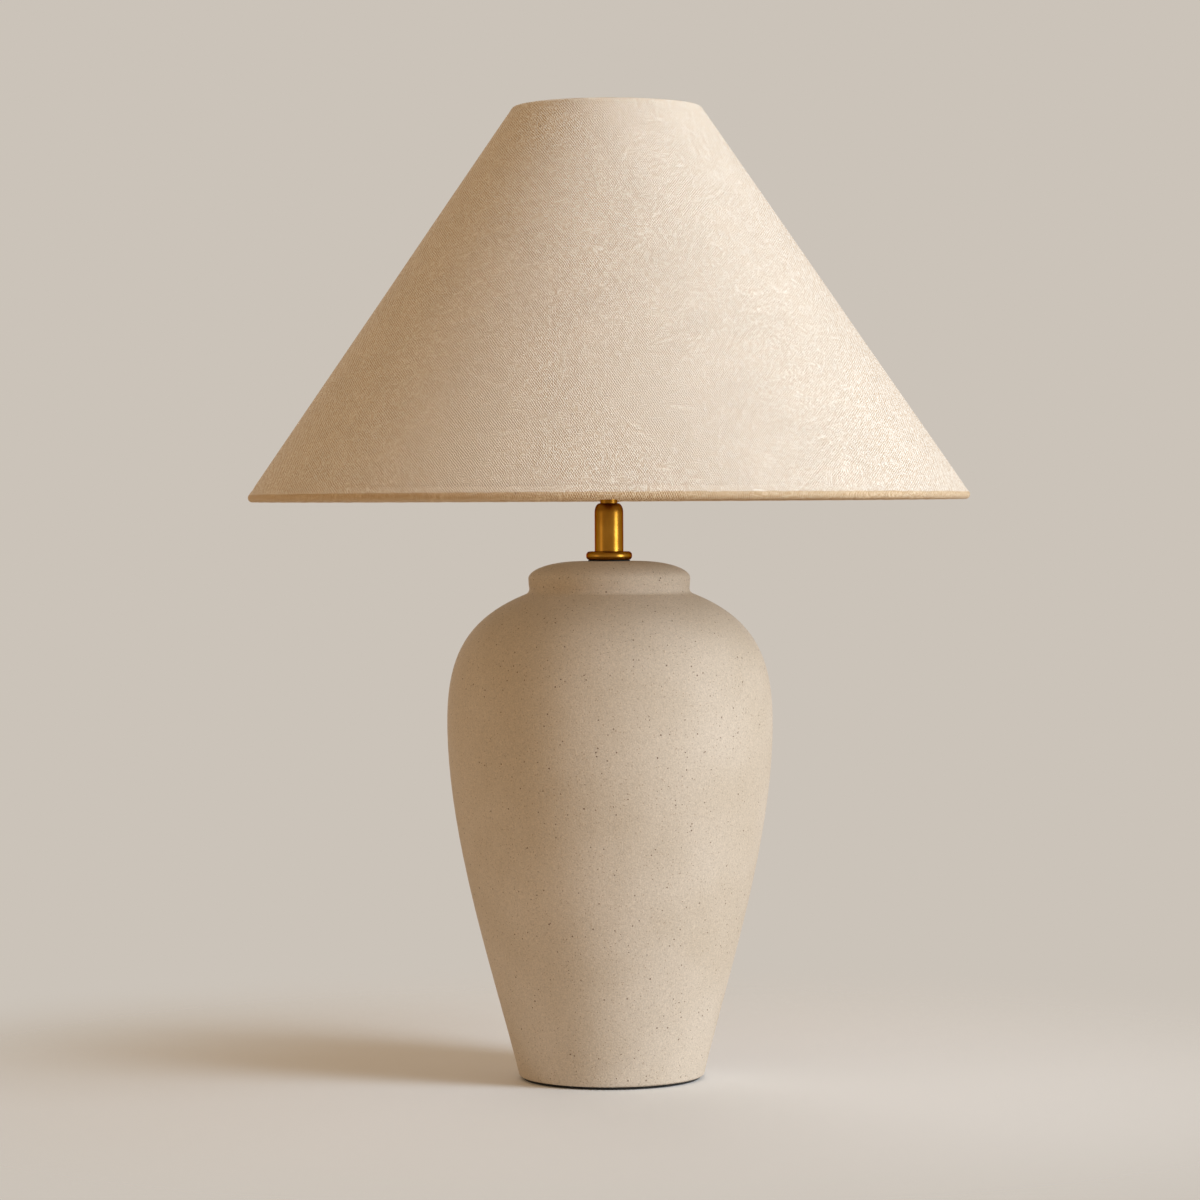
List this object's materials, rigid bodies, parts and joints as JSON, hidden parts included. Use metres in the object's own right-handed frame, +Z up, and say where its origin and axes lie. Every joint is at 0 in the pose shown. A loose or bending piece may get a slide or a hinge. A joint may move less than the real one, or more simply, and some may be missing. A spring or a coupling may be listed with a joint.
{
  "type": "table lamp",
  "caption": "Table lamp with a speckled stoneware urn base, a brass neck, a harp with a turn-switch socket and a wide conical linen shade held by a finial.",
  "frame": {"origin": "middle of the underside of the felt pad, where the lamp stands", "axes": "+Z up along the lamp's axis, -Y towards the front of the picture, +X to its right, the switch knob towards +X and the cord inlet towards +Y"},
  "size_m": [0.5, 0.5, 0.675],
  "materials": {
    "felt": "black felt",
    "stoneware": "matte speckled stoneware",
    "black_rubber": "matte rubber",
    "zinc_steel": "zinc plated",
    "antique_brass": "antique brushed brass",
    "contact_brass": "bare brass",
    "fibre_card": "pressed fibre",
    "brown_phenolic": "moulded phenolic",
    "black_knob": "gloss moulded",
    "bare_aluminium": "rolled aluminium",
    "white_board": "white circuit board",
    "opal_glass": "opal glass",
    "white_wire": "white coated wire",
    "white_lining": "white styrene sheet",
    "linen": "natural woven linen"
  },
  "bodies": {
    "base": {"base_pad": "felt", "ceramic_body": "stoneware", "cord_grommet": "black_rubber", "lamp_pipe": "zinc_steel", "bottom_washer": "zinc_steel", "lock_washer": "zinc_steel", "bottom_nut": "zinc_steel", "neck_gasket": "black_rubber", "check_ring": "antique_brass", "neck_tube": "antique_brass", "neck_collar": "antique_brass", "harp_saddle": "antique_brass", "harp_wire": "antique_brass", "harp_stud": "antique_brass", "socket_cap": "antique_brass", "cap_set_screw": "zinc_steel", "socket_shell": "antique_brass", "socket_sleeve": "fibre_card", "switch_block": "brown_phenolic", "terminal_screws": "zinc_steel", "centre_contact": "contact_brass", "screw_shell": "bare_aluminium"},
    "shade": {"shade_fabric": "linen", "shade_liner": "white_lining", "shade_top_ring": "white_wire", "shade_bottom_ring": "white_wire", "shade_spider": "white_wire"},
    "finial": {"finial": "antique_brass"},
    "bulb": {"bulb_tip": "contact_brass", "bulb_insulator": "black_knob", "bulb_cap": "bare_aluminium", "bulb_board": "white_board", "bulb_glass": "opal_glass"},
    "switch": {"switch_shaft": "antique_brass", "switch_knob": "black_knob"},
    "front_sleeve": {"harp_sleeve_front": "antique_brass"},
    "back_sleeve": {"harp_sleeve_back": "antique_brass"}
  },
  "joints": [
    {"name": "shade_swivel", "type": "hinge", "parent": "base", "child": "shade", "pos_m": [0, 0, 0.64], "axis": [0, 0, 1], "continuous": true},
    {"name": "finial_turn", "type": "hinge", "parent": "base", "child": "finial", "pos_m": [0, 0, 0.6416], "axis": [0, 0, 1], "continuous": true},
    {"name": "bulb_turn", "type": "hinge", "parent": "base", "child": "bulb", "pos_m": [0, 0, 0.4439], "axis": [0, 0, 1], "continuous": true},
    {"name": "switch_turn", "type": "hinge", "parent": "base", "child": "switch", "pos_m": [0.0255, 0, 0.4306], "axis": [1, 0, 0], "continuous": true},
    {"name": "front_sleeve_slide", "type": "slide", "parent": "base", "child": "front_sleeve", "axis": [0, 0, 1], "range_m": [0, 0.0135]},
    {"name": "back_sleeve_slide", "type": "slide", "parent": "base", "child": "back_sleeve", "axis": [0, 0, 1], "range_m": [0, 0.0135]}
  ]
}
